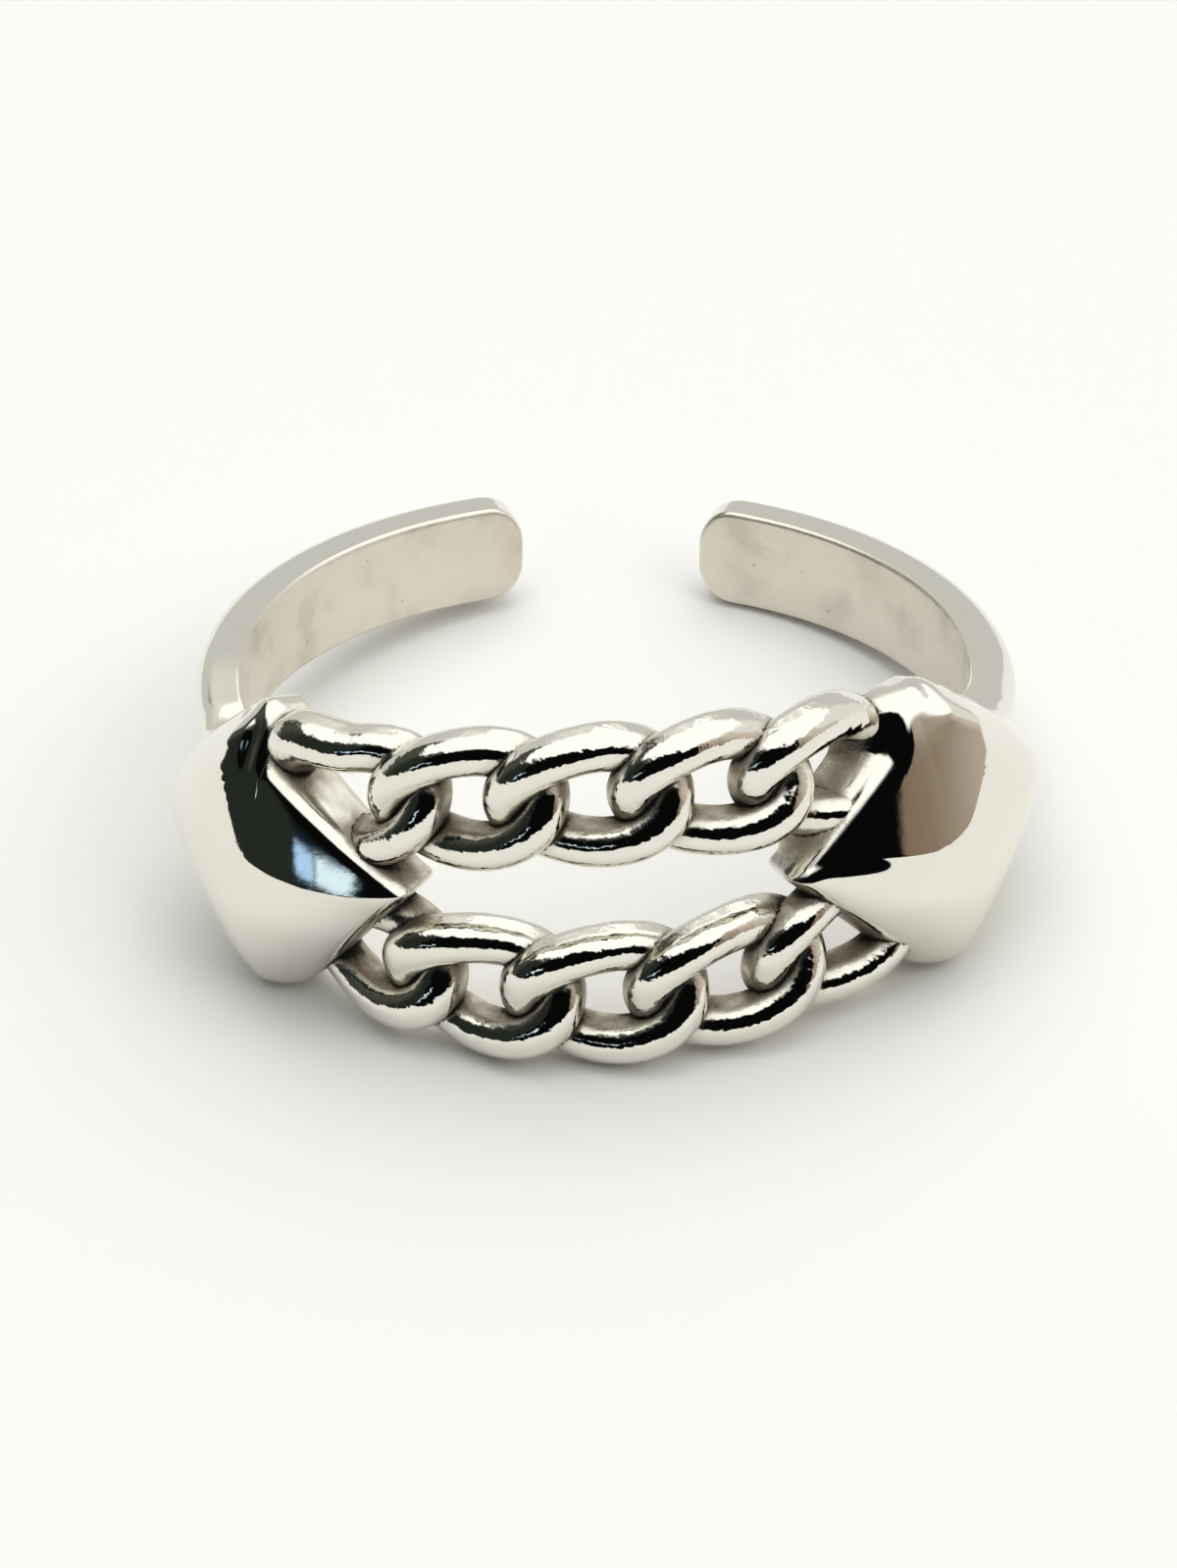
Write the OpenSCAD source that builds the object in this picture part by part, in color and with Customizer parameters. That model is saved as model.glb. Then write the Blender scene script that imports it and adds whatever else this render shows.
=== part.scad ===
// Open ring cast in one piece: a plain band in two arms, two swept
// pyramid studs, and two rows of curb chain links side by side between them.
// The ring lies on its side as it rests: +Z up, the chain towards -Y, the
// gap between the arms towards +Y, and the floor at z = 0.
// Angles round the finger are counted from the middle of the chain, and
// positive ones lie towards +X.

/* [Finger and band] */
// Inside diameter of the ring
bore_d = 17.6; // [15:0.1:22]
// Width of the band, along the finger
band_w = 2.55; // [2:0.05:4]
// Wall of the band at the sides of the ring
band_wall = 1.15; // [0.8:0.05:1.8]
// Extra wall that the band has gained at its free ends
end_extra = 0.08; // [0:0.05:0.6]
// Rounding of the band's outer edges
edge_r = 0.5; // [0.2:0.05:0.7]
// Small bevel where the flat inner face meets the edges
inner_bevel = 0.14; // [0.05:0.01:0.3]
// Gap between the two free ends, measured on the inner face
arm_gap = 4.4; // [2:0.1:7]
// Rounding of the corners of each free end
end_corner_r = 1.05; // [0.3:0.05:1.1]

/* [Studs] */
// Height of a stud's upper corner above the ring's middle
stud_top = 3.85; // [2.5:0.01:5]
// Depth of a stud's lower corner below the ring's middle
stud_low = 3.78; // [2.5:0.01:5]
// Wall of a stud behind its rim
stud_wall = 1.1; // [0.8:0.05:2]
// Extra wall at the stud's inner tip
tip_extra = 0.25; // [0:0.05:0.6]
// How far the peak stands out beyond the rim
stud_rise = 1.5; // [0.5:0.05:2.5]
// Angle of the inner tip
tip_angle = 26; // [22:0.5:32]
// Angle of the middle of the upper corner
top_angle = 49.5; // [46:0.5:58]
// Width of the upper corner
top_w = 0.8; // [0.4:0.1:2.6]
// Angle of the middle of the blunt lower corner
corner_angle = 52.5; // [46:0.5:58]
// Width of the lower corner
corner_w = 1.7; // [0.6:0.1:2.6]
// Angle of the middle of the peak, which is a short ridge
peak_angle = 54.5; // [50:0.5:58]
// Length of the peak
peak_l = 2.5; // [0.5:0.1:4]
// Angle where the stud has run out into the band
outer_angle = 83; // [76:0.5:90]
// How round the swell from the rim to the peak is, 1 for flat faces
stud_swell = 2.1; // [1:0.1:3]
// Share of the stud's height that its back keeps, where the edge is eased for the finger
back_share = 0.9; // [0.7:0.01:1]

/* [Chain] */
// Length of one link, over its wire
link_l = 4.95; // [4:0.05:6]
// Height of one link, over its wire
link_h = 3.54; // [2.8:0.02:4.4]
// Thickness of a link's wire
wire_d = 1.12; // [0.8:0.02:1.3]
// Distance from one link to the next along the row
link_pitch = 2.94; // [2.4:0.02:3.4]
// Links in one row, the two that run into the studs included
link_count = 5; // [3:2:7]
// How far a link swings in and out where it passes its neighbours
weave = 0.3; // [0.1:0.02:0.5]
// Height of a row's middle above or below the ring's middle
row_rise = 2.68; // [2.2:0.02:3.6]
// Share of that height lost at the ends of the row
row_bow = 0.25; // [0:0.01:0.4]
// Angle by which the upper row is shifted
upper_shift = -1; // [-4:0.1:4]
// Angle by which the lower row is shifted
lower_shift = 0; // [-4:0.1:4]
// Height that the upper row gains from its left end to its right end
upper_lean = 0.5; // [-1:0.1:1]
// Height that the lower row gains from its left end to its right end
lower_lean = 0.1; // [-1:0.1:1]
// Depth of the chain's middle behind its front, less the wire and the weave
chain_seat = 0.65; // [0.5:0.01:1.2]

/* [Stance] */
// Twist of the ring's front against its arms
front_twist = 2.7; // [0:0.1:5]

/* [Hidden] */
$fn = 96;

silver = [0.80, 0.79, 0.77];
bore_r = bore_d / 2;
// The band's outside is a circle a little behind the finger's
band_r = bore_r + band_wall;
stud_r = bore_r + stud_wall;
chain_r = bore_r + chain_seat;
end_angle = asin(arm_gap / 2 / bore_r);
link_angle = link_pitch / chain_r * 180 / PI;
top_half = top_w / 2 / stud_r * 180 / PI;
corner_half = corner_w / 2 / stud_r * 180 / PI;
peak_half = peak_l / 2 / (stud_r + stud_rise) * 180 / PI;
half_run = link_l / 2 - wire_d / 2;
half_rise = link_h / 2 - wire_d / 2;
// The row's height is measured at this angle from its middle
bow_angle = 40;
// The chain's back is this far clear of the finger's cylinder
back_skin = 0.02;
// A stud's solid reaches this far inside the finger's cylinder before it is cut
back_depth = 0.4;
// Where the first ring of facets lies round the peak
peak_share = 0.07;

// Facets of a link along its wire and around it
link_steps = 16;
wire_sides = 6;
// Facets of a stud from peak to rim, and along each side of its diamond
stud_rings = 6;
side_steps = 5;

function around(angle, r, z) = [r * sin(angle), -r * cos(angle), z];
function unit(v) = v / norm(v);

// The stud's outline, seen from outside, and the end of the peak that each
// corner of it rises to
//   angle                    height       wall past the rim's  peak's angle
stud_corners = [
    [tip_angle,                0,           tip_extra,  peak_angle - peak_half],
    [top_angle - top_half,     stud_top,    0,          peak_angle - peak_half],
    [top_angle + top_half,     stud_top,    0,          peak_angle + peak_half],
    [outer_angle,              0,           0,          peak_angle + peak_half],
    [corner_angle + corner_half, -stud_low, 0,          peak_angle + peak_half],
    [corner_angle - corner_half, -stud_low, 0,          peak_angle - peak_half],
];
corner_count = len(stud_corners);
// Side counts the corners passed on the way round
function rim(side) =
    let (k = floor(side), part = side - k)
    stud_corners[k % corner_count] * (1 - part) + stud_corners[(k + 1) % corner_count] * part;
// Share runs from the peak, 0, to the rim, 1
function stud_point(share, side) =
    let (edge = rim(side))
    around(
        edge[3] + (edge[0] - edge[3]) * share,
        stud_r + edge[2] * share + stud_rise * (1 - pow(share, stud_swell)),
        edge[1] * share
    );
// The stud's back lies inside the finger's cylinder, which cuts it to shape
function stud_back(side) =
    let (edge = rim(side))
    around(edge[0], bore_r - back_depth, edge[1] * back_share);

module stud() {
    count = corner_count * side_steps;
    points = [
        around(peak_angle, stud_r + stud_rise, 0),
        for (i = [0:stud_rings], j = [0:count - 1])
            stud_point(i == 0 ? peak_share : i / stud_rings, j / side_steps),
        for (j = [0:count - 1]) stud_back(j / side_steps),
        around(peak_angle, bore_r - back_depth, 0)
    ];
    last = len(points) - 1;
    back = stud_rings + 1;
    function at(i, j) = 1 + i * count + j % count;
    polyhedron(
        points,
        [
            for (j = [0:count - 1]) [0, at(0, j), at(0, j + 1)],
            for (i = [0:stud_rings], j = [0:count - 1]) [at(i, j), at(i + 1, j), at(i, j + 1)],
            for (i = [0:stud_rings], j = [0:count - 1]) [at(i, j + 1), at(i + 1, j), at(i + 1, j + 1)],
            for (j = [0:count - 1]) [last, at(back, j + 1), at(back, j)]
        ],
        convexity = 6
    );
}

// The two rows
//   side    shift        lean
rows = [
    [1,  upper_shift, upper_lean],
    [-1, lower_shift, lower_lean],
];
function row_z(angle, row) =
    row[0] * row_rise * (1 - row_bow * pow(angle / bow_angle, 2)) + row[2] * angle / bow_angle / 2;
function link_place(i, row) = row[1] + (i - (link_count - 1) / 2) * link_angle;
// The middle of a link's wire, all the way round
function wire_middle(turn, angle, row) =
    let (a = angle + half_run * cos(turn) / chain_r * 180 / PI)
    around(a, chain_r - weave * sin(2 * turn), row_z(a, row) + half_rise * sin(turn));
// The chain's back is flattened on the finger's cylinder
function flattened(p) =
    let (r = norm([p[0], p[1]]), keep = max(1, (bore_r + back_skin) / r))
    [p[0] * keep, p[1] * keep, p[2]];
function wire_ring(turn, angle, row) =
    let (
        middle = wire_middle(turn, angle, row),
        along = unit(wire_middle(turn + 2, angle, row) - wire_middle(turn - 2, angle, row)),
        out = unit([middle[0], middle[1], 0]),
        side = unit(cross(along, out)),
        front = cross(side, along)
    )
    [for (k = [0:wire_sides - 1])
        let (w = 360 * k / wire_sides)
        flattened(middle + wire_d / 2 * (cos(w) * front + sin(w) * side))];

module link(angle, row) {
    rings = [for (i = [0:link_steps - 1]) wire_ring(360 * i / link_steps, angle, row)];
    function at(i, k) = (i % link_steps) * wire_sides + k % wire_sides;
    polyhedron(
        [for (ring = rings) each ring],
        [for (i = [0:link_steps - 1], k = [0:wire_sides - 1], half = [0, 1])
            half == 0
                ? [at(i, k), at(i + 1, k), at(i, k + 1)]
                : [at(i, k + 1), at(i + 1, k), at(i + 1, k + 1)]],
        convexity = 8
    );
}

module chain_row(row) {
    for (i = [0:link_count - 1]) link(link_place(i, row), row);
}

// The band's outside as a full ring, before the finger's hole is cut
module band_blank() {
    inner = bore_r - 1;
    translate([0, end_extra, 0])
        rotate_extrude()
            union() {
                translate([inner, -band_w / 2])
                    square([band_r - edge_r - inner, band_w]);
                translate([inner, edge_r - band_w / 2])
                    square([band_r - inner, band_w - 2 * edge_r]);
                for (z = [-1, 1])
                    translate([band_r - edge_r, z * (band_w / 2 - edge_r)])
                        circle(r = edge_r);
            }
}

// The finger's hole through the band, with its bevelled edges
module band_bore() {
    flare = inner_bevel + 1;
    cylinder(r = bore_r, h = 2 * band_w, center = true);
    for (z = [0, 1])
        mirror([0, 0, z])
            translate([0, 0, band_w / 2 - inner_bevel])
                cylinder(r1 = bore_r, r2 = bore_r + flare, h = flare);
}

// What one arm keeps of the full ring: from inside its stud to its free end
module arm_reach() {
    far = 2 * bore_d;
    start = 180 - peak_angle;
    tongue = 2 * end_corner_r;
    corner_z = band_w / 2 - end_corner_r;
    stop = end_angle + (tongue - 0.1) / bore_r * 180 / PI;
    translate([0, 0, -band_w])
        linear_extrude(2 * band_w)
            polygon([
                [0, 0],
                [far * sin(stop), far * cos(stop)],
                [far, far * cos(stop)],
                [far, far * cos(start)],
                [far * sin(start), far * cos(start)]
            ]);
    // The free end is a tongue with round corners, cut straight out from the finger
    rotate([0, 0, -end_angle])
        rotate([-90, 0, 0])
            linear_extrude(far)
                union() {
                    translate([0, -corner_z])
                        square([tongue, 2 * corner_z]);
                    translate([end_corner_r, -band_w])
                        square([tongue - end_corner_r, 2 * band_w]);
                    for (z = [-1, 1])
                        translate([end_corner_r, z * corner_z])
                            circle(r = end_corner_r);
                }
}

module arm() {
    intersection() {
        difference() {
            band_blank();
            band_bore();
        }
        arm_reach();
    }
}

module front() {
    rotate([0, -front_twist, 0]) {
        stud();
        mirror([1, 0, 0]) stud();
        for (row = rows) chain_row(row);
    }
}

// The ring rests on three places: a lower corner of the stud at -X, the middle
// link of the lower row, and the lower edge of the arm at +X near its free end
//   middle of the rounding that touches                     its radius
function twisted(p) =
    [p[0] * cos(front_twist) - p[2] * sin(front_twist), p[1], p[0] * sin(front_twist) + p[2] * cos(front_twist)];
edge_angle = end_angle + end_corner_r / bore_r * 180 / PI;
edge_mid_r = band_r - edge_r;
stands_on = [
    [twisted(around(-corner_angle - corner_half, stud_r, -stud_low)), 0],
    [twisted(wire_middle(270, link_place((link_count - 1) / 2, rows[1]), rows[1])), wire_d / 2],
    [[edge_mid_r * sin(edge_angle), edge_mid_r * cos(edge_angle) + end_extra, edge_r - band_w / 2], edge_r],
];
function floor_up(a, b, c) =
    let (n = unit(cross(b - a, c - a)))
    n[2] < 0 ? -n : n;
function touching(up) = [for (s = stands_on) s[0] - s[1] * up];
first_up = floor_up(stands_on[0][0], stands_on[1][0], stands_on[2][0]);
touch = touching(first_up);
up = floor_up(touch[0], touch[1], touch[2]);
rest_angle = acos(up[2]);
rest_axis = [up[1], -up[0], 0];
floor_lift = -touch[0] * up;
// The ring's reach forwards and back as it rests, which puts the origin in its middle
reach_front = (chain_r + weave + wire_d / 2) * up[2] - row_rise * up[1];
reach_back = (band_r * cos(end_angle) + end_extra) * up[2] - (band_w / 2 - edge_r) * up[1];
centre_y = (reach_front - reach_back) / 2;

module ring() {
    color(silver)
        translate([0, centre_y, floor_lift])
            rotate(rest_angle, rest_axis)
                union() {
                    arm();
                    mirror([1, 0, 0]) arm();
                    difference() {
                        front();
                        cylinder(r = bore_r, h = 3 * (stud_top + stud_low), center = true);
                    }
                }
}

ring();
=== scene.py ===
import math
import bmesh
import bpy
import numpy as np
from mathutils import Matrix, Vector
from mathutils.bvhtree import BVHTree


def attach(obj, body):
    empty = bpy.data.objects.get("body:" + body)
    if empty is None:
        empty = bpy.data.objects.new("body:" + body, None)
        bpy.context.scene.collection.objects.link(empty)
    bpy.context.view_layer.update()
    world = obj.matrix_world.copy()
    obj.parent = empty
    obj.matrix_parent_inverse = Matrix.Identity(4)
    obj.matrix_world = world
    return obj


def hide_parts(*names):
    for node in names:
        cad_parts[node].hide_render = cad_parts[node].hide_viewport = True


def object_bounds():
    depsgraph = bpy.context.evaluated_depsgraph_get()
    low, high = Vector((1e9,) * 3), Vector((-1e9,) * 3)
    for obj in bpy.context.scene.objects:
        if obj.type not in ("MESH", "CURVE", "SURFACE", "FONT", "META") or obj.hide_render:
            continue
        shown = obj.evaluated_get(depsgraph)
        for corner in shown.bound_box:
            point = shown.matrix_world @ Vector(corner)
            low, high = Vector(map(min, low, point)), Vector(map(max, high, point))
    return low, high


# An open silver ring cast in one piece, lying on its side on pale paper. Shapes are
# made in the ring's own frame, in millimetres: the finger along Z, the chain towards
# -Y, and angles counted from the chain's middle. They are laid down to rest at the end.

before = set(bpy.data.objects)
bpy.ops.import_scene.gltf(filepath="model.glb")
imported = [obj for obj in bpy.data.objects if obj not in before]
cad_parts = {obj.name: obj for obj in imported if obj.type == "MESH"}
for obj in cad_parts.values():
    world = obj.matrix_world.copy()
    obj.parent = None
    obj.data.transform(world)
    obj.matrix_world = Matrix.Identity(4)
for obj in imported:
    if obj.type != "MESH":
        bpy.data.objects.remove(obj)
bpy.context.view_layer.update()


# Node trees

class Signal:  # a node's socket, so that node maths reads as plain sums
    def __init__(self, tree, socket):
        self.tree = tree
        self.socket = socket

    def add(self, kind, settings=None, values=None):
        made = self.tree.nodes.new(kind)
        for name, value in (settings or {}).items():
            setattr(made, name, value)
        for name, value in (values or {}).items():
            socket = made.inputs[name]
            if isinstance(value, Signal):
                self.tree.links.new(value.socket, socket)
            elif isinstance(value, tuple) and socket.type == "RGBA":
                socket.default_value = (*value, 1)
            else:
                socket.default_value = value
        return made

    def get(self, kind, settings=None, values=None, output=0):
        return Signal(self.tree, self.add(kind, settings, values).outputs[output])

    def calc(self, operation, *terms):
        return self.get("ShaderNodeMath", {"operation": operation}, dict(enumerate(terms)))

    def __add__(self, other): return self.calc("ADD", self, other)
    def __radd__(self, other): return self.calc("ADD", other, self)
    def __sub__(self, other): return self.calc("SUBTRACT", self, other)
    def __rsub__(self, other): return self.calc("SUBTRACT", other, self)
    def __mul__(self, other): return self.calc("MULTIPLY", self, other)
    def __rmul__(self, other): return self.calc("MULTIPLY", other, self)
    def __truediv__(self, other): return self.calc("DIVIDE", self, other)
    def __neg__(self): return self.calc("MULTIPLY", self, -1)

    def step(self, low, high):  # 0 before low, 1 past high, eased between
        if low > high:
            return 1 - self.step(high, low)
        return self.get("ShaderNodeMapRange", {"interpolation_type": "SMOOTHSTEP"},
                        {"Value": self, "From Min": low, "From Max": high})

    def tint(self, first, second):  # self is the share of the second colour
        return self.get("ShaderNodeMix", {"data_type": "RGBA"}, {0: self, 6: first, 7: second}, 2)


def startTree(tree):
    tree.nodes.clear()
    return Signal(tree, None)


def splitAxes(start, vector, count):
    parts = start.add("ShaderNodeSeparateXYZ", {}, {0: vector})
    return [Signal(start.tree, parts.outputs[i]) for i in range(count)]


# Where the ring rests, the same numbers as the part's source works out

stance = dict(up=(-0.046577, -0.162242, 0.985651), centreY=0.448237, floorLift=2.864214)
lieDown = (Matrix.Scale(0.001, 4)
           @ Matrix.Translation((0, stance["centreY"], stance["floorLift"]))
           @ Vector(stance["up"]).rotation_difference(Vector((0, 0, 1))).to_matrix().to_4x4())

cleanUp = dict(mergeWithin=0.0008, sliver=0.0004)  # millimetres


def finishPiece(name, mesh, material):
    shell = bmesh.new()
    shell.from_mesh(mesh)
    bmesh.ops.remove_doubles(shell, verts=shell.verts, dist=cleanUp["mergeWithin"])
    bmesh.ops.dissolve_degenerate(shell, edges=shell.edges, dist=cleanUp["sliver"])
    bmesh.ops.recalc_face_normals(shell, faces=shell.faces)
    if shell.calc_volume(signed=True) < 0:
        bmesh.ops.reverse_faces(shell, faces=shell.faces)
    shell.to_mesh(mesh)
    shell.free()
    mesh.transform(lieDown)
    mesh.materials.clear()
    mesh.materials.append(material)
    mesh.shade_smooth()
    piece = bpy.data.objects.new(name, mesh)
    bpy.context.scene.collection.objects.link(piece)
    print(name, len(mesh.vertices), "vertices")
    return piece


# Silver

silver = dict(
    bright=(0.815, 0.80, 0.725),  # polished
    warm=(0.80, 0.74, 0.635),  # satin, on the finger's side
    # The tarnish colour also darkens tight nooks, where it is partly painted shade
    tarnishAndShade=(0.30, 0.26, 0.20),
    # Near black in the tightest nooks: dark tarnish lines and painted shade
    grimeAndShade=(0.035, 0.03, 0.022),
    polish=0.035, satin=0.34, unevenSatin=0.12, nookSatin=0.3,  # roughness
    driftFrom=0.35, driftShare=0.5, warmShare=0.75,
    stainAndShadeShare=0.34, stainAndShadeMatt=0.5, patchShare=0.3, grimeAndShadeShare=0.9, pitShare=0.5,
    stainAndShadeCloud=0.35, stainAndShadeGrain=0.12, grimeAndShadeCloud=0.25, grimeAndShadeGrain=0.2, nookCloud=0.2,  # ragged edges
    grainPlain=0.02, grainMatt=0.9, grainNook=0.3, pitDepth=1.2,  # relief
)
# From where each starts to where it is full, by how shut a nook is or how high a noise
silverEdges = dict(
    # The stain and grime edges darken nooks: partly tarnish, partly painted shade
    stainAndShade=(0.07, 0.36), grimeAndShade=(0.33, 0.5), nookSatin=(0.14, 0.5),
    patch=(0.45, 0.75), pit=(0.05, 0.13), pitPatch=(0.5, 0.62),
)
silverNoises = dict(  # scales are per millimetre
    wander=dict(Scale=0.7, Detail=3.0),
    cloud=dict(Scale=2.2, Detail=5.0, Roughness=0.6),
    grain=dict(Scale=16.0, Detail=4.0, Roughness=0.7),
    scuff=dict(Scale=3.2, Detail=2.0, Roughness=0.5),
)
silverPits = dict(Scale=1.9, Randomness=1.0)
silverBumps = dict(
    waves=dict(Strength=0.02, Distance=0.0003),
    scuffs=dict(Strength=0.22, Distance=0.0001),
    relief=dict(Strength=0.3, Distance=0.00006),
)


def makeSilver():
    material = bpy.data.materials.new("castSilver")
    material.use_nodes = True
    start = startTree(material.node_tree)
    edges = silverEdges
    place = start.get("ShaderNodeTexCoord", output=3)
    here = start.get("ShaderNodeMapping", {}, {"Vector": place, "Scale": (1000, 1000, 1000)})
    matt, nook, hand = (start.get("ShaderNodeAttribute", {"attribute_name": name}, output=2)
                        for name in ("matt", "nook", "hand"))
    wander, cloud, grain, scuff = (start.get("ShaderNodeTexNoise", {}, {"Vector": here, **silverNoises[name]})
                                   for name in ("wander", "cloud", "grain", "scuff"))
    pits = start.get("ShaderNodeTexVoronoi", {"feature": "F1"}, {"Vector": here, **silverPits})
    pit = (1 - pits.step(*edges["pit"])) * cloud.step(*edges["pitPatch"])
    uneven, gritty = cloud - 0.5, grain - 0.5

    # Tight nooks go towards the tarnish colour and then near black: tarnish in the hollows, and painted shade under
    # the overlapping strands
    stainAndShade = (nook + uneven * silver["stainAndShadeCloud"] + gritty * silver["stainAndShadeGrain"]).step(*edges["stainAndShade"])
    grimeAndShade = (nook + uneven * silver["grimeAndShadeCloud"] + gritty * silver["grimeAndShadeGrain"]).step(*edges["grimeAndShade"])
    drift = (wander - silver["driftFrom"]) * silver["driftShare"]
    colour = (matt * silver["warmShare"] + drift * (1 - matt)).tint(silver["bright"], silver["warm"])
    colour = (stainAndShade * (silver["stainAndShadeShare"] + matt * silver["stainAndShadeMatt"])).tint(colour, silver["tarnishAndShade"])
    colour = (wander.step(*edges["patch"]) * matt * silver["patchShare"]).tint(colour, silver["tarnishAndShade"])
    colour = (grimeAndShade * silver["grimeAndShadeShare"]).tint(colour, silver["grimeAndShade"])
    colour = (pit * matt * silver["pitShare"]).tint(colour, silver["tarnishAndShade"])

    rough = silver["polish"] + matt * silver["satin"] + uneven * matt * silver["unevenSatin"]
    rough = rough + (nook + uneven * silver["nookCloud"]).step(*edges["nookSatin"]) * hand * silver["nookSatin"]

    relief = grain * (silver["grainPlain"] + matt * silver["grainMatt"] + nook * silver["grainNook"])
    relief = relief - pit * matt * silver["pitDepth"]
    normal = start.get("ShaderNodeBump", {}, {**silverBumps["waves"], "Height": wander})
    for name, height in (("scuffs", scuff * hand), ("relief", relief)):
        normal = start.get("ShaderNodeBump", {}, {**silverBumps[name], "Height": height, "Normal": normal})
    metal = start.get("ShaderNodeBsdfPrincipled", {}, {
        "Base Color": colour, "Metallic": 1.0, "Roughness": rough, "Normal": normal})
    start.add("ShaderNodeOutputMaterial", {}, {"Surface": metal})
    print("silver made")
    return material


castSilver = makeSilver()


# One side of the casting: stud and arm, from the stud's inner tip to the arm's free end.
# Its outer face is a height over the angle and the height z, its inner face the finger's.
# Names that end in Angle are degrees from the chain's middle, the rest are millimetres.

bore = dict(radius=8.8)
stud = dict(
    rimRadius=9.9, tipExtra=0.25, rise=1.5, wall=1.1, slope=0.8,
    tipAngle=26, outerAngle=83, cornerAngle=52.5, cornerWidth=1.7, low=3.78,
    peakIn=51.0, peakOut=57.0, cutPeak=48.5,  # degrees
    swell=2.2, straightLow=0.05, fullSoft=0.22, mostShare=1.3,  # how the faces fall to the rim
    crownDrop=0.2, crownFrom=-0.3, crownTo=0.9,  # wear at the upper corner
    brim=0.7, brimFrom=-0.2, brimTo=0.4,  # the cut face comes up to the rim past that corner
    meet=1.6, creaseStep=0.25, creaseSmooth=5, meetSmooth=9, pastCrease=9,
    tipRound=0.14, waistRound=0.6, cornerRound=1.25, backRoll=0.1, lean=0.073,
    flareFoot=0.2, flareTop=1.2, flareFull=44, flareGone=49,
)
# The castings' upper corners differ: the waist is a bend in the upper inner edge. The
# crease, angle and height, parts the upper inner face from the smooth swell of the rest.
studLeft = dict(
    waistAngle=48.4, waistHeight=2.5, topAngle=50.5, topWidth=0.9, top=3.75, topRound=0.75,
    crown=2.4, flare=0.0, rimRoll=0.8, straight=0.7,
    crease=[(26, -0.02), (34, -0.12), (40, -0.08), (44, 0.02), (47.6, 0.2), (49.2, 0.38),
            (50.2, 0.62), (51.3, 1.24), (52.9, 1.82), (54, 2.4), (54.6, 3), (55, 3.6)],
)
studRight = dict(
    waistAngle=42.6, waistHeight=2.55, topAngle=49.0, topWidth=1.3, top=3.8, topRound=0.75,
    crown=2.4, flare=0.9, rimRoll=1.2, straight=0.84,
    crease=[(26, 0.02), (28.5, 0.24), (32, 0.46), (36, 0.4), (42.2, 0.16), (45, 0.1), (47.4, 0.16),
            (49.4, 0.34), (50.8, 0.6), (52.3, 1.02), (54, 1.5), (55.2, 2.1), (55.7, 2.7), (56, 3.4)],
)
arm = dict(
    halfWidth=1.275, radius=9.95, backShift=0.08, endAngle=165.52,
    endRound=1.0, outerRoll=0.5, innerRoll=0.12, neckRound=0.5,
    mergeFrom=62, mergeTo=70, mergeSoft=0.12, mergeSink=3,  # where the stud runs into the arm
    rollFrom=74, rollTo=80,  # degrees
)
twist = dict(degrees=2.7, fullUntil=68, goneFrom=96)
sideGrid = dict(
    step=0.09, closest=0.02, tipNudge=1e-4, arcStep=8, rows=34, edgeRows=14, wallRows=8,
    edgeReach=1.6, leastRoll=0.3, mostEdge=0.55,
)


def ease(value, low, high):
    t = np.clip((value - low) / (high - low), 0, 1)
    return t * t * (3 - 2 * t)


def softMax(a, b, width):
    return (a + b + np.sqrt((a - b) ** 2 + width ** 2)) / 2


def alongOf(angle):  # millimetres along the rim, from the chain's middle
    return math.radians(angle) * stud["rimRadius"]


def roundedOutline(corners, step, arcStep):
    out = []
    places = [np.array(place, float) for place, radius in corners]
    for i, (place, radius) in enumerate(corners):
        before, here, after = (places[(i + k) % len(places)] for k in (-1, 0, 1))
        one = (before - here) / np.linalg.norm(before - here)
        two = (after - here) / np.linalg.norm(after - here)
        opening = math.acos(np.clip(one @ two, -1, 1))
        reach = radius / math.tan(opening / 2)
        middle = here + (one + two) / np.linalg.norm(one + two) * radius / math.sin(opening / 2)
        a, b = here + one * reach - middle, here + two * reach - middle
        turn = math.atan2(a[0] * b[1] - a[1] * b[0], a @ b)
        steps = max(2, math.ceil(abs(math.degrees(turn)) / arcStep))
        for k in range(steps + 1):
            c, s = math.cos(turn * k / steps), math.sin(turn * k / steps)
            out.append(middle + [a[0] * c - a[1] * s, a[0] * s + a[1] * c])
    closed = []
    for p, q in zip(out, out[1:] + out[:1]):
        pieces = max(1, round(np.linalg.norm(q - p) / step))
        closed += [p + (q - p) * k / pieces for k in range(pieces)]
    return np.array(closed)


def sideOutline(corner):
    half, topHalf = stud["cornerWidth"] / 2, corner["topWidth"] / 2
    tip, low, outer = (alongOf(stud[key]) for key in ("tipAngle", "cornerAngle", "outerAngle"))
    top, waist = alongOf(corner["topAngle"]), alongOf(corner["waistAngle"])
    width, end = arm["halfWidth"], alongOf(arm["endAngle"])
    neckTop = outer - (outer - top - topHalf) * width / corner["top"]
    neckLow = outer - (outer - low - half) * width / stud["low"]
    corners = [
        ((tip, 0), stud["tipRound"]),
        ((waist, corner["waistHeight"]), stud["waistRound"]),
        ((top - topHalf, corner["top"]), corner["topRound"]),
        ((top + topHalf, corner["top"]), corner["topRound"]),
        ((neckTop, width), arm["neckRound"]),
        ((end, width), arm["endRound"]),
        ((end, -width), arm["endRound"]),
        ((neckLow, -width), arm["neckRound"]),
        ((low + half, -stud["low"]), stud["cornerRound"]),
        ((low - half, -stud["low"]), stud["cornerRound"]),
    ]
    return roundedOutline(corners, sideGrid["step"], sideGrid["arcStep"])


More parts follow.
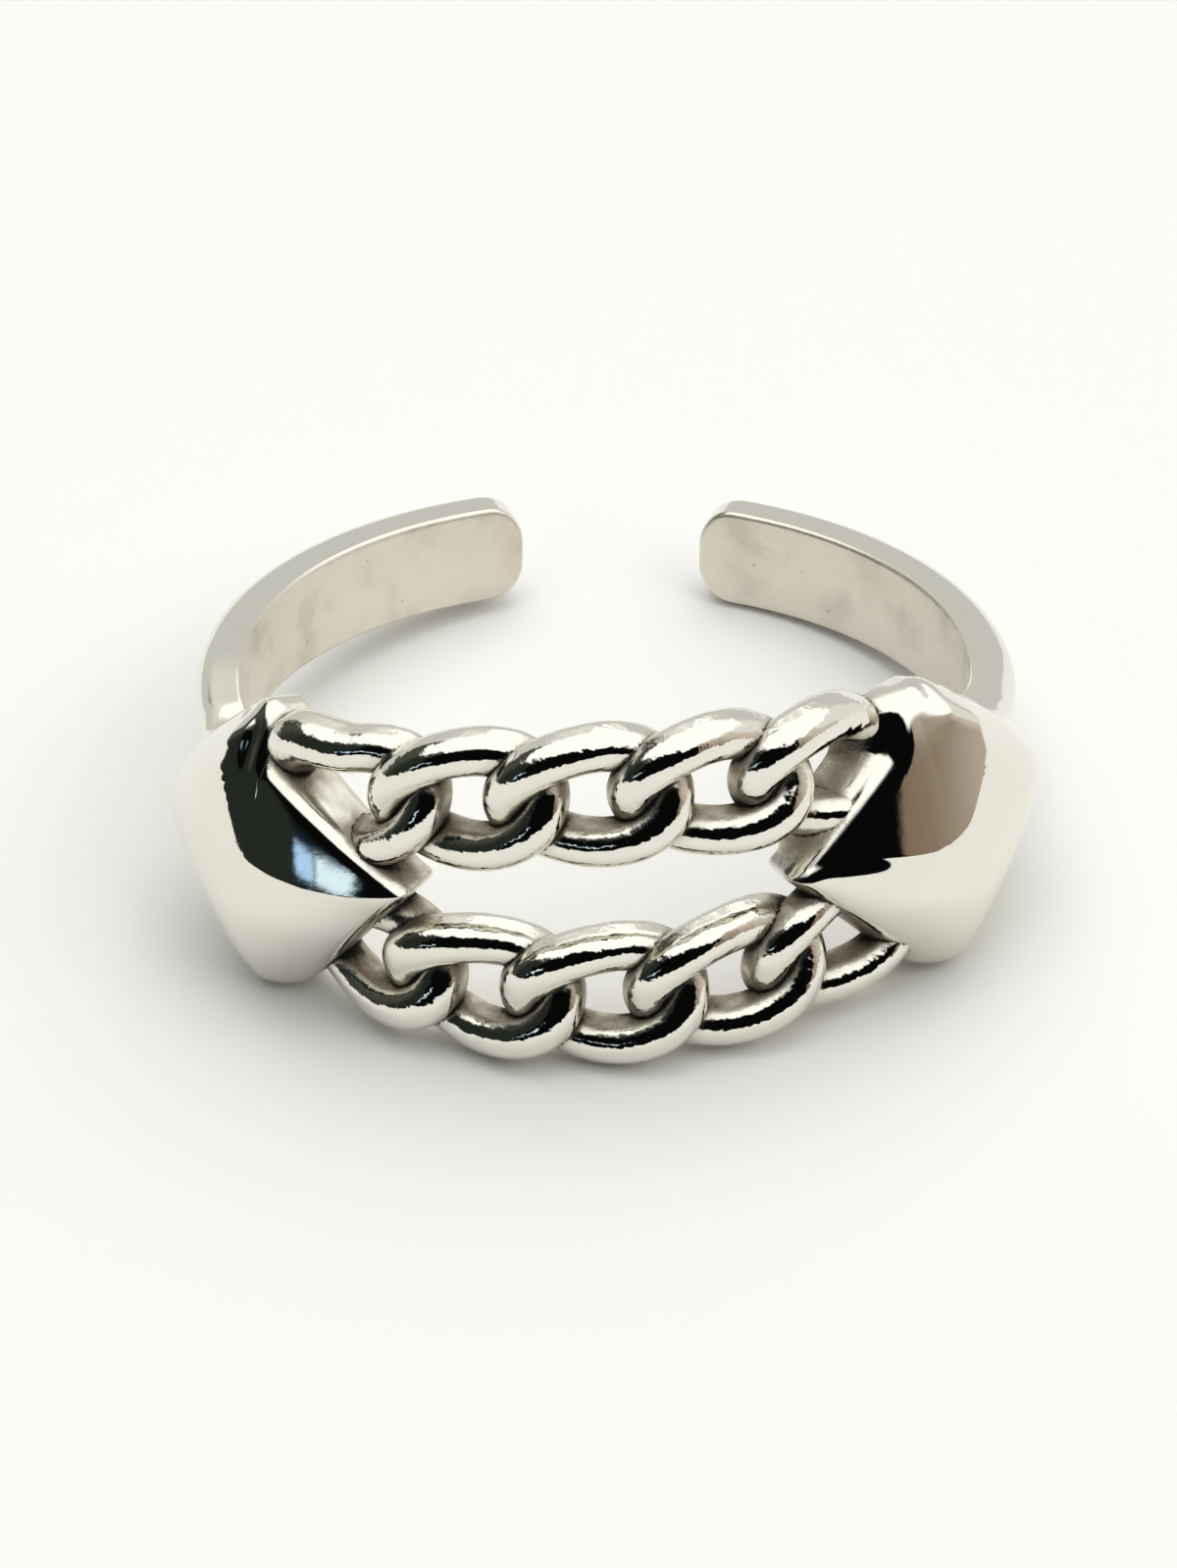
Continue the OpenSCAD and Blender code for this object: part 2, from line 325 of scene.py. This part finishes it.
def farFromLine(points, line):
    nearest = np.full(len(points), np.inf)
    for p, q in zip(line, line[1:]):
        edge = q - p
        length = edge @ edge
        if length < 1e-12:
            continue
        t = np.clip(((points - p) @ edge) / length, 0, 1)
        nearest = np.minimum(nearest, np.linalg.norm(points - p - t[:, None] * edge, axis=1))
    return nearest


def crossing(outline, s, half):  # the outline's height over s, in its upper (1) or lower (-1) half
    part = outline[outline[:, 1] * half > -1e-9]
    order = np.argsort(part[:, 0])
    return np.interp(s, part[order, 0], np.abs(part[order, 1]))


def faceShare(s, height, foot, shoulder, tall, peak, side):  # 0 over the peak, 1 at the rim
    normal = np.array([-side * tall, side * (shoulder - foot)])
    normal = normal / np.linalg.norm(normal)
    return ((s - peak) * normal[0] + height * normal[1]) / ((foot - peak) * normal[0])


def sink(share, straight):
    share = np.clip(share, 0, stud["mostShare"])
    return straight * share + (1 - straight) * share ** stud["swell"]


def fullSwell(s, z, corner):  # the smooth swell of all four faces, from the peak down to the rim
    half, topHalf = stud["cornerWidth"] / 2, corner["topWidth"] / 2
    tip, outer, peakIn, peakOut = (alongOf(stud[key]) for key in ("tipAngle", "outerAngle", "peakIn", "peakOut"))
    top, low = alongOf(corner["topAngle"]), alongOf(stud["cornerAngle"])
    swells = [sink(faceShare(s, *face), stud["straightLow"]) for face in (
        (-z, tip, low - half, stud["low"], peakIn, 1),
        (-z, outer, low + half, stud["low"], peakOut, -1),
        (z, tip, top - topHalf, corner["top"], peakIn, 1),
        (z, outer, top + topHalf, corner["top"], peakOut, -1))]
    soft = stud["fullSoft"]
    lower, upper = softMax(swells[0], swells[1], soft), softMax(swells[2], swells[3], soft)
    return (softMax(lower, upper, soft) - soft) / (1 - soft)


def cutFace(s, z, brim, corner):  # the flatter upper inner face
    tip, top = alongOf(stud["tipAngle"]), alongOf(corner["topAngle"])
    share = faceShare(s, z, tip, top - corner["topWidth"] / 2, corner["top"], alongOf(stud["cutPeak"]), 1)
    cut = sink(share, corner["straight"])
    worn = np.clip((z - corner["crown"]) / (corner["top"] - corner["crown"]), 0, 1) ** 2
    cut = cut + stud["crownDrop"] * worn * (1 - ease(s, top + stud["crownFrom"], top + stud["crownTo"]))
    return cut * (1 - brim) + brim


def creaseLine(corner):
    angles = np.arange(stud["tipAngle"], corner["crease"][-1][0], stud["creaseStep"])
    line = np.interp(angles, *np.array(corner["crease"]).T)
    window, margin = stud["creaseSmooth"], stud["creaseSmooth"] // 2
    line[margin:-margin] = sum(line[k:len(line) - 2 * margin + k] for k in range(window)) / window
    return np.stack([alongOf(1) * angles, line], axis=1)


def outerHeight(s, z, far, corner):
    tip, top = alongOf(stud["tipAngle"]), alongOf(corner["topAngle"])
    shoulder = alongOf(stud["cornerAngle"]) - stud["cornerWidth"] / 2
    brim = (1 - ease(far, 0, stud["brim"])) * ease(s, top + stud["brimFrom"], top + stud["brimTo"])
    full, cut, crease = fullSwell(s, z, corner), cutFace(s, z, brim, corner), creaseLine(corner)
    inside = (z > np.interp(s, crease[:, 0], crease[:, 1], right=stud["pastCrease"])) & (s > tip)

    # The swell comes down, or up, to meet the cut face along the crease
    gaps = np.hypot(s.ravel()[:, None] - crease[:, 0], z.ravel()[:, None] - crease[:, 1])
    apart = (cut - full).ravel()[gaps.argmin(axis=0)]
    window = stud["meetSmooth"]
    apart = np.convolve(np.pad(apart, window // 2, mode="edge"), np.full(window, 1 / window), mode="valid")
    pull = 1 / (gaps ** 4 + 1e-6)
    meet = pull @ apart / pull.sum(axis=1) * (1 - ease(gaps.min(axis=1), 0, stud["meet"]))
    sunk = np.where(inside, cut, full + meet.reshape(s.shape) * (1 - brim))

    extra = stud["tipExtra"] * np.clip((shoulder - s) / (shoulder - tip), 0, 1) * np.clip(sunk, 0, 1)
    studTop = stud["rimRadius"] + extra + stud["rise"] * (1 - sunk)
    bandTop = arm["radius"] - arm["backShift"] * np.cos(s / stud["rimRadius"])
    isArm = ease(s, alongOf(arm["mergeFrom"]), alongOf(arm["mergeTo"]))
    merged = softMax(studTop, bandTop - arm["mergeSink"] * (1 - isArm), arm["mergeSoft"])
    return np.where(isArm > 0, merged, studTop)


def gridAlong(outline):  # the outline's own points, thinned where they crowd
    every = np.sort(outline[:, 0])
    s = [every[0] - sideGrid["tipNudge"]]
    for value in every:
        if value - s[-1] > sideGrid["closest"]:
            s.append(value)
    s[-1] = every[-1]
    return np.array(s)


def gridAcross(width, roll):  # rows from the middle out, closer where the edge rolls over
    rows, edgeRows = sideGrid["rows"], sideGrid["edgeRows"]
    edge = np.minimum(sideGrid["edgeReach"] * np.maximum(roll, sideGrid["leastRoll"]), sideGrid["mostEdge"] * width)
    out = [(width - edge) * k / rows for k in range(rows + 1)]
    out += [width - edge * (1 - math.sin(k / edgeRows * math.pi / 2)) for k in range(1, edgeRows + 1)]
    return np.array(out).T


def roundOff(far, radius, tilt):  # how much a rounded edge takes off, on a face that tilts
    radius, tilt = (np.repeat(value[:, None], far.shape[1], axis=1) for value in (radius, tilt))
    secant = np.sqrt(1 + tilt ** 2)
    reach = radius * (1 - tilt / secant)
    arc = np.sqrt(np.maximum(radius ** 2 - (radius - np.minimum(far, radius)) ** 2, 0))
    drop = tilt * (far - radius) + radius * secant - arc
    return np.where(far < reach, drop, 0)


def shellFaces(rows, cols, layers):  # outer grid, inner grid and the wall round their edge
    size = rows * cols
    last = layers - 1
    faces = []

    def at(layer, i, k):
        return layer * size + i * cols + k

    for i in range(rows - 1):
        for k in range(cols - 1):
            faces.append((at(0, i, k), at(0, i + 1, k), at(0, i + 1, k + 1), at(0, i, k + 1)))
            faces.append((at(last, i, k), at(last, i, k + 1), at(last, i + 1, k + 1), at(last, i + 1, k)))
    rim = ([(i, cols - 1) for i in range(rows)] + [(rows - 1, k) for k in range(cols - 2, -1, -1)]
           + [(i, 0) for i in range(rows - 2, -1, -1)])
    for layer in range(last):
        for (i, k), (m, n) in zip(rim, rim[1:]):
            faces.append((at(layer, i, k), at(layer, m, n), at(layer + 1, m, n), at(layer + 1, i, k)))
    return faces


def makeSide(name, side, corner):
    outline = sideOutline(corner)
    s = gridAlong(outline)
    upWidth, downWidth = crossing(outline, s, 1), crossing(outline, s, -1)
    upWidth[0] = downWidth[0] = 0.0
    isArm = ease(s, alongOf(arm["rollFrom"]), alongOf(arm["rollTo"]))
    roll = corner["rimRoll"] + (arm["outerRoll"] - corner["rimRoll"]) * isArm
    backRoll = stud["backRoll"] + (arm["innerRoll"] - stud["backRoll"]) * isArm

    z = np.hstack([-gridAcross(downWidth, roll)[:, :0:-1], gridAcross(upWidth, roll)])
    grid = np.repeat(s[:, None], z.shape[1], axis=1)
    closed = np.vstack([outline, outline[:1]])
    far = farFromLine(np.stack([grid.ravel(), z.ravel()], axis=1), closed).reshape(z.shape)
    far[:, 0] = far[:, -1] = 0
    far[0, :] = far[-1, :] = 0

    top = outerHeight(grid, z, far, corner) - roundOff(far, roll, stud["slope"] * (1 - isArm))
    bottom = bore["radius"] + roundOff(far, backRoll, np.zeros_like(backRoll))
    isArm = np.repeat(isArm[:, None], z.shape[1], axis=1)
    # The right stud's wall leans out towards the chain behind its upper inner edge
    flare = corner["flare"] * ease(z, stud["flareFoot"], stud["flareTop"])
    flare = flare * (1 - ease(grid, alongOf(stud["flareFull"]), alongOf(stud["flareGone"])))

    def place(radius):
        pull = np.clip((stud["rimRadius"] - radius) / stud["wall"], 0, 1)
        height = z * (1 - stud["lean"] * (1 - isArm) * pull)
        angle = (grid - flare * pull) / stud["rimRadius"]
        x, y = side * radius * np.sin(angle), -radius * np.cos(angle)
        bend = math.radians(twist["degrees"]) * (1 - ease(np.degrees(angle), twist["fullUntil"], twist["goneFrom"]))
        return np.stack([x * np.cos(bend) - height * np.sin(bend), y,
                         x * np.sin(bend) + height * np.cos(bend)], axis=-1)

    shares = [k / sideGrid["wallRows"] for k in range(sideGrid["wallRows"] + 1)]
    points = np.concatenate([place(top * (1 - k) + bottom * k).reshape(-1, 3) for k in shares])
    faces = shellFaces(*z.shape, len(shares))
    used = np.unique(np.array(faces))
    order = np.full(len(points), -1)
    order[used] = np.arange(len(used))
    mesh = bpy.data.meshes.new(name)
    mesh.from_pydata([tuple(p) for p in points[used]], [], [tuple(order[list(face)]) for face in faces])
    return finishPiece(name, mesh, castSilver)


sides = [makeSide("sideLeft", -1, studLeft), makeSide("sideRight", 1, studRight)]


# The two rows of curb chain links, cast solid. One tree makes a row: a loop of wire is
# copied along a line, and the line is then bent round the finger.

chain = dict(
    linkLength=4.95, linkHeight=3.54, wire=1.1, boxy=0.4, pitch=2.94, count=5, weave=0.3,
    radius=9.45, backRadius=8.83, backSoft=0.05, rise=2.68, bow=0.25, bowAngle=40,
    loopSteps=128, wireSides=36,
)
# Lift: how far the row's first strand rises to the left stud's upper corner, over which
# run along the row, and over which heights of the link
chainLift = dict(liftFrom=-6.5, run=(-0.5, 1.0), heights=(-0.3, 0.9))
# The lower row's own rise keeps its middle link on the paper
chainRows = dict(
    chainUpper=dict(side=1.0, shift=-1.0, lean=0.5, lift=0.5),
    chainLower=dict(side=-1.0, shift=0.0, lean=0.1, lift=0.0, rise=2.61),
)


def makeRowTree():
    tree = bpy.data.node_groups.new("curbRow", "GeometryNodeTree")
    addSocket = tree.interface.new_socket
    addSocket("Row", in_out="OUTPUT", socket_type="NodeSocketGeometry")
    for name in ("linkLength", "linkHeight", "wire", "boxy", "pitch", "weave", "radius", "backRadius", "backSoft",
                 "rise", "bow", "bowReach", "side", "shift", "lean", "lift", "liftFrom"):
        addSocket(name, in_out="INPUT", socket_type="NodeSocketFloat")
    for name in ("count", "loopSteps", "wireSides"):
        addSocket(name, in_out="INPUT", socket_type="NodeSocketInt")
    addSocket("silver", in_out="INPUT", socket_type="NodeSocketMaterial")
    start = startTree(tree)
    given = start.add("NodeGroupInput")
    size = {s.name: Signal(tree, s) for s in given.outputs if s.name}

    # The loop: an oval whose wire swings out and in where it passes its neighbours
    oval = start.get("GeometryNodeCurvePrimitiveCircle", {}, {"Resolution": size["loopSteps"], "Radius": 1.0})
    spot = start.get("GeometryNodeInputPosition")
    x, y = splitAxes(start, spot, 2)
    halfRun = (size["linkLength"] - size["wire"]) * 0.5
    halfRise = (size["linkHeight"] - size["wire"]) * 0.5
    swing = x * y * size["weave"] * -2.0
    loopPlace = start.get("ShaderNodeCombineXYZ", {}, {0: x * halfRun, 1: y * halfRise, 2: swing})
    loop = start.get("GeometryNodeSetPosition", {}, {"Geometry": oval, "Position": loopPlace})
    loop = start.get("GeometryNodeSetCurveNormal", {"mode": "Z_UP"}, {"Curve": loop})

    # Its section is boxier behind than in front, as the holes are cast with straight walls
    section = start.get("GeometryNodeCurvePrimitiveCircle", {}, {
        "Resolution": size["wireSides"], "Radius": size["wire"] * 0.5})
    x, y = splitAxes(start, spot, 2)
    corner = start.calc("ABSOLUTE", x * y) * 4.0 / (size["wire"] * size["wire"])
    square = 1.0 + corner * start.calc("GREATER_THAN", y, 0.0) * size["boxy"]
    boxed = start.get("ShaderNodeCombineXYZ", {}, {0: x * square, 1: y * square})
    section = start.get("GeometryNodeSetPosition", {}, {"Geometry": section, "Position": boxed})
    link = start.get("GeometryNodeCurveToMesh", {}, {"Curve": loop, "Profile Curve": section})

    # The line of links
    firstLink = size["shift"] - (size["count"] - 1.0) * size["pitch"] * 0.5
    lineStart = start.get("ShaderNodeCombineXYZ", {}, {0: firstLink})
    lineStep = start.get("ShaderNodeCombineXYZ", {}, {0: size["pitch"]})
    line = start.get("GeometryNodeMeshLine", {"mode": "OFFSET"}, {
        "Count": size["count"], "Start Location": lineStart, "Offset": lineStep})
    copies = start.get("GeometryNodeInstanceOnPoints", {}, {"Points": line, "Instance": link})
    row = start.get("GeometryNodeRealizeInstances", {}, {"Geometry": copies})

    # Bent round the finger, with its back filed to the finger's curve
    run, up, out = splitAxes(start, start.get("GeometryNodeInputPosition"), 3)
    lift = (size["liftFrom"] - run).step(*chainLift["run"]) * up.step(*chainLift["heights"]) * size["lift"]
    angle = (run - lift) / size["radius"]
    radius = start.calc("SMOOTH_MAX", out + size["radius"], size["backRadius"], size["backSoft"])
    reach = run / size["bowReach"]
    bowed = size["side"] * size["rise"] * (1.0 - size["bow"] * reach * reach)
    height = bowed + size["lean"] * reach * 0.5 + up + lift
    bent = start.get("ShaderNodeCombineXYZ", {}, {
        0: radius * start.calc("SINE", angle), 1: -(radius * start.calc("COSINE", angle)), 2: height})
    row = start.get("GeometryNodeSetPosition", {}, {"Geometry": row, "Position": bent})
    row = start.get("GeometryNodeSetShadeSmooth", {}, {"Geometry": row})
    row = start.get("GeometryNodeSetMaterial", {}, {"Geometry": row, "Material": size["silver"]})
    start.add("NodeGroupOutput", {}, {0: row})
    return tree


def makeRow(name, tree, row):
    holder = bpy.data.objects.new(name + "_tree", bpy.data.meshes.new(name + "_tree"))
    bpy.context.scene.collection.objects.link(holder)
    modifier = holder.modifiers.new("links", "NODES")
    modifier.node_group = tree
    sizes = dict(chain, bowReach=math.radians(chain["bowAngle"]) * chain["radius"],
                 liftFrom=chainLift["liftFrom"], silver=castSilver)
    sizes.update(row, shift=math.radians(row["shift"]) * chain["radius"])
    for item in tree.interface.items_tree:
        if item.in_out == "INPUT":
            modifier[item.identifier] = sizes[item.name]
    evaluated = holder.evaluated_get(bpy.context.evaluated_depsgraph_get())
    mesh = bpy.data.meshes.new_from_object(evaluated)
    holder.modifiers.clear()
    bpy.data.objects.remove(holder)
    mesh.name = name
    mesh.transform(Matrix.Rotation(math.radians(-twist["degrees"]), 4, "Y"))
    return finishPiece(name, mesh, castSilver)


rowTree = makeRowTree()
rows = [makeRow(name, rowTree, row) for name, row in chainRows.items()]


# Where fingers and cloths don't reach: satin on the finger's side, dark in tight nooks, which is
# partly tarnish and partly painted shade. Short rays from each point say how shut in it is.

wearAndShade = dict(
    rays=24, quickRays=6, reach=0.0020, skin=0.00002, lowest=0.12, spread=0.86,
    facingBack=(0.45, 0.85), nearFinger=(9.25, 9.75),  # the finger's side, by normal and radius
    shutIn=(0.10, 0.26), facingFront=(-0.75, -0.25),  # hidden walls that polish misses
)


def rayFan(count):
    golden = math.pi * (3 - math.sqrt(5))
    fan = []
    for i in range(count):
        rise = wearAndShade["lowest"] + wearAndShade["spread"] * (i + 0.5) / count
        flat = math.sqrt(1 - rise * rise)
        fan.append((flat * math.cos(golden * i), flat * math.sin(golden * i), rise))
    return fan


def addWearAndShade(pieces):
    corners, faces = [], []
    for piece in pieces:
        first = len(corners)
        corners += [v.co.copy() for v in piece.data.vertices]
        faces += [tuple(first + i for i in f.vertices) for f in piece.data.polygons]
    tree = BVHTree.FromPolygons(corners, faces)
    standUp = lieDown.inverted()
    turnBack = standUp.to_3x3()
    fan = rayFan(wearAndShade["rays"])
    for piece in pieces:
        mesh = piece.data
        nook, matt = np.zeros(len(mesh.vertices)), np.zeros(len(mesh.vertices))
        for v in mesh.vertices:
            side = v.normal.orthogonal().normalized()
            other = v.normal.cross(side)
            start = v.co + v.normal * wearAndShade["skin"]
            shut = 0.0
            for x, y, z in fan:
                hit = tree.ray_cast(start, side * x + other * y + v.normal * z, wearAndShade["reach"])
                if hit[0] is not None:
                    shut += 1 - hit[3] / wearAndShade["reach"]
            shut = shut / len(fan)
            p = standUp @ v.co
            inward = -(turnBack @ v.normal).normalized().dot(Vector((p.x, p.y, 0)).normalized())
            behind = ease(inward, *wearAndShade["facingBack"]) * (1 - ease(math.hypot(p.x, p.y), *wearAndShade["nearFinger"]))
            hidden = ease(shut, *wearAndShade["shutIn"]) * ease(inward, *wearAndShade["facingFront"])
            nook[v.index], matt[v.index] = shut, max(behind, hidden)
        hand = np.full(len(nook), 1.0 if piece in rows else 0.0)
        for key, values in (("nook", nook), ("matt", matt), ("hand", hand)):
            layer = mesh.attributes.new(key, "FLOAT", "POINT")
            layer.data.foreach_set("value", values.astype(np.float32))
        print(piece.name, "wearAndShade", round(float(nook.mean()), 3))


addWearAndShade(sides + rows)


# Paper

paperSheet = dict(colour=(0.82, 0.818, 0.805), size=1.6, below=0.00001, roughness=0.9, sheen=0.1)


def makePaper():
    half = paperSheet["size"] / 2
    mesh = bpy.data.meshes.new("paper")
    mesh.from_pydata([(-half, -half, 0), (half, -half, 0), (half, half, 0), (-half, half, 0)], [], [(0, 1, 2, 3)])
    paper = bpy.data.objects.new("paper", mesh)
    paper.location.z = min(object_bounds()[0].z, 0) - paperSheet["below"]
    bpy.context.scene.collection.objects.link(paper)
    material = bpy.data.materials.new("palePaper")
    material.use_nodes = True
    start = startTree(material.node_tree)
    shade = start.get("ShaderNodeBsdfPrincipled", {}, {
        "Base Color": paperSheet["colour"], "Roughness": paperSheet["roughness"],
        "Specular IOR Level": paperSheet["sheen"]})
    start.add("ShaderNodeOutputMaterial", {}, {"Surface": shade})
    mesh.materials.append(material)
    print("paper laid")


# The room that the silver mirrors. Its places are in degrees: around is 0 straight in
# front, over the camera, and positive to the right, and rise is 0 at the paper's level.

roomColours = dict(
    ceiling=(1.30, 1.30, 1.27), back=(0.66, 0.66, 0.63), backHigh=(1.0, 1.0, 0.96),
    right=(0.86, 0.86, 0.82), table=(0.56, 0.55, 0.53), dark=(0.003, 0.003, 0.003),
    leftDark=(0.020, 0.026, 0.021), leftGrey=(0.075, 0.075, 0.062),
    taupe=(0.25, 0.18, 0.13), taupeLight=(0.66, 0.60, 0.52),
)
roomEdges = dict(  # from where a wall starts to where it is full
    leftDark=(-47, -53), leftGrey=(-75, -105),
    taupeSide=(45.5, 47.5), taupeTop=(46, 38), taupeFoot=(0, 9), taupeTint=(50, 86),
    tableTop=(-1, -4), tableLeft=(-38, -28), tableRight=(40, 34),
    rightSide=(94, 102), rightClimb=(5, 25),
    behindRight=(135, 150), behindLeft=(-100, -116), behindClimb=(8, 28), backTint=(22, 50),
    glowUp=(40, 62), glowLeft=(-35, -70),
    ceiling=(50, 57), ceilingRight=(5, 45), ceilingLeft=(-65, -85),
)
# How far an edge moves over its climb, the glow's share, and how ragged the edges are
roomAmounts = dict(
    taupe=5.0, taupeFrom=10, taupeTint=0.45, right=18.0, behind=40.0,
    glow=0.25, ceilingRight=20.0, ceilingLeft=8.0, wobble=9,
)
roomNoise = dict(Scale=4.0, Detail=4.0, Roughness=0.6)
window = dict(
    corners=((-50.2, 13.5), (-31.5, 20.6), (-36, 15.7), (-51.6, 9.5)),  # the panes' outline
    bar=((-46, 11.7), (-44.2, 16)), barWidth=(0.35, 0.1), soft=0.3, barSoft=0.8, haloSoft=3.0,
    left=(0.50, 0.78, 1.15), right=(0.86, 1.10, 1.28), halo=(0.004, 0.028, 0.045), haloShare=0.8,
)


def beside(around, rise, line, soft):  # 1 on the right of a line from its first point to its second
    (east, north), (east2, north2) = line
    length = math.hypot(east2 - east, north2 - north)
    across = ((around - east) * (north2 - north) - (rise - north) * (east2 - east)) / length
    return across.step(-soft, soft)


def addWindow(room, around, rise):
    panes, halo = 1.0, 1.0
    topLeft, topRight, lowRight, lowLeft = window["corners"]
    for line in ((topLeft, topRight), (topRight, lowRight), (lowRight, lowLeft), (lowLeft, topLeft)):
        panes = beside(around, rise, line, window["soft"]) * panes
        halo = beside(around, rise, line, window["haloSoft"]) * halo
    bar = beside(around, rise, window["bar"], window["barSoft"])
    room = (halo * window["haloShare"]).tint(room, window["halo"])
    room = panes.tint(room, bar.tint(window["left"], window["right"]))
    onBar = room.calc("ABSOLUTE", bar - 0.5).step(*window["barWidth"]) * panes
    return onBar.tint(room, window["halo"])


def makeRoom():
    world = bpy.data.worlds.new("studio")
    bpy.context.scene.world = world
    world.use_nodes = True
    start = startTree(world.node_tree)
    colours, edges, amounts = roomColours, roomEdges, roomAmounts
    direction = start.get("ShaderNodeTexCoord", output=0)
    x, y, z = splitAxes(start, direction, 3)
    rise = start.calc("ARCSINE", z) * (180 / math.pi)
    around = start.calc("ARCTAN2", x, -y) * (180 / math.pi)
    cloud = start.get("ShaderNodeTexNoise", {}, {"Vector": direction, **roomNoise}) - 0.5
    high = rise + cloud * amounts["wobble"]
    far = around + cloud * amounts["wobble"]

    # Dark at the front and left, with a grey and a taupe wall, and the table below
    room = far.step(*edges["leftDark"]).tint(colours["dark"], colours["leftDark"])
    room = far.step(*edges["leftGrey"]).tint(room, colours["leftGrey"])
    lighter = (far + high * amounts["taupeTint"]).step(*edges["taupeTint"])
    taupe = lighter.tint(colours["taupe"], colours["taupeLight"])
    climb = (rise - amounts["taupeFrom"]).step(*edges["taupeFoot"]) * amounts["taupe"]
    room = ((around - climb).step(*edges["taupeSide"]) * high.step(*edges["taupeTop"])).tint(room, taupe)
    table = rise.step(*edges["tableTop"]) * far.step(*edges["tableLeft"]) * around.step(*edges["tableRight"])
    room = table.tint(room, colours["table"])

    # Bright on the right, behind and above
    climb = high.step(*edges["rightClimb"]) * amounts["right"]
    room = (far + climb).step(*edges["rightSide"]).tint(room, colours["right"])
    behind = (around + rise.step(*edges["behindClimb"]) * amounts["behind"]).step(*edges["behindLeft"])
    back = high.step(*edges["backTint"]).tint(colours["back"], colours["backHigh"])
    room = start.calc("MAXIMUM", far.step(*edges["behindRight"]), behind).tint(room, back)
    glow = high.step(*edges["glowUp"]) * far.step(*edges["glowLeft"]) * amounts["glow"]
    room = glow.tint(room, colours["ceiling"])
    lowered = (high + far.step(*edges["ceilingRight"]) * amounts["ceilingRight"]
               + far.step(*edges["ceilingLeft"]) * amounts["ceilingLeft"])
    room = lowered.step(*edges["ceiling"]).tint(room, colours["ceiling"])
    room = addWindow(room, around, rise)

    shine = start.get("ShaderNodeBackground", {}, {"Color": room, "Strength": 1.0})
    start.add("ShaderNodeOutputWorld", {}, {"Surface": shine})
    print("room made")


# Soft lights, which the silver doesn't mirror

lights = dict(
    softBox=dict(azimuth=90, rise=76, size=(0.7, 0.7), power=1.9),
    fillLeft=dict(azimuth=-140, rise=32, size=(0.6, 0.4), power=0.6),
    fillRight=dict(azimuth=-30, rise=40, size=(0.6, 0.4), power=0.85),
)
lightDistance = 0.8
lightAim = Vector((0, 0, 0.003))


def addLight(name, light):
    a, e = math.radians(light["azimuth"]), math.radians(light["rise"])
    out = Vector((math.cos(a) * math.cos(e), math.sin(a) * math.cos(e), math.sin(e)))
    data = bpy.data.lights.new(name, "AREA")
    data.shape = "RECTANGLE"
    data.size, data.size_y = light["size"]
    data.energy = light["power"]
    lamp = bpy.data.objects.new(name, data)
    lamp.location = lightAim + out * lightDistance
    lamp.rotation_euler = out.to_track_quat("Z", "Y").to_euler()
    lamp.visible_glossy = False
    bpy.context.scene.collection.objects.link(lamp)
    print(name, "lit")


# The photograph's view, worked out in the ring's own frame

view = dict(
    rise=0.493, yaw=-0.014, roll=-0.006,  # radians
    distance=20.28, aside=-0.042, upward=-0.184, unit=9.83,  # in units of so many millimetres
    focal=8348.6, tall=1599, sensor=36,
)


def makeCamera():
    data = bpy.data.cameras.new("photograph")
    data.sensor_width = view["sensor"]
    data.lens = view["focal"] / view["tall"] * view["sensor"]
    data.clip_start, data.clip_end = 0.01, 10
    camera = bpy.data.objects.new("photograph", data)
    e = view["rise"]
    right = Vector((1, 0, 0))
    up, ahead = Vector((0, math.sin(e), math.cos(e))), Vector((0, math.cos(e), -math.sin(e)))
    place = (right * view["aside"] + up * view["upward"] - ahead * view["distance"]) * view["unit"]
    c, s = math.cos(view["roll"]), math.sin(view["roll"])
    axes = Matrix((right * c - up * s, right * s + up * c, -ahead)).transposed().to_4x4()
    unyaw = Matrix.Rotation(-view["yaw"], 4, "Z")
    turn = (lieDown.to_3x3() * 1000).to_4x4()
    camera.matrix_world = Matrix.Translation(lieDown @ (unyaw @ place)) @ turn @ unyaw @ axes
    bpy.context.scene.collection.objects.link(camera)
    bpy.context.scene.camera = camera
    print("camera placed")


makePaper()
makeRoom()
for name, light in lights.items():
    addLight(name, light)
makeCamera()
bpy.context.scene.view_settings.view_transform = "Standard"

for piece in sides + rows:
    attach(piece, "root")
    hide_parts("ring")
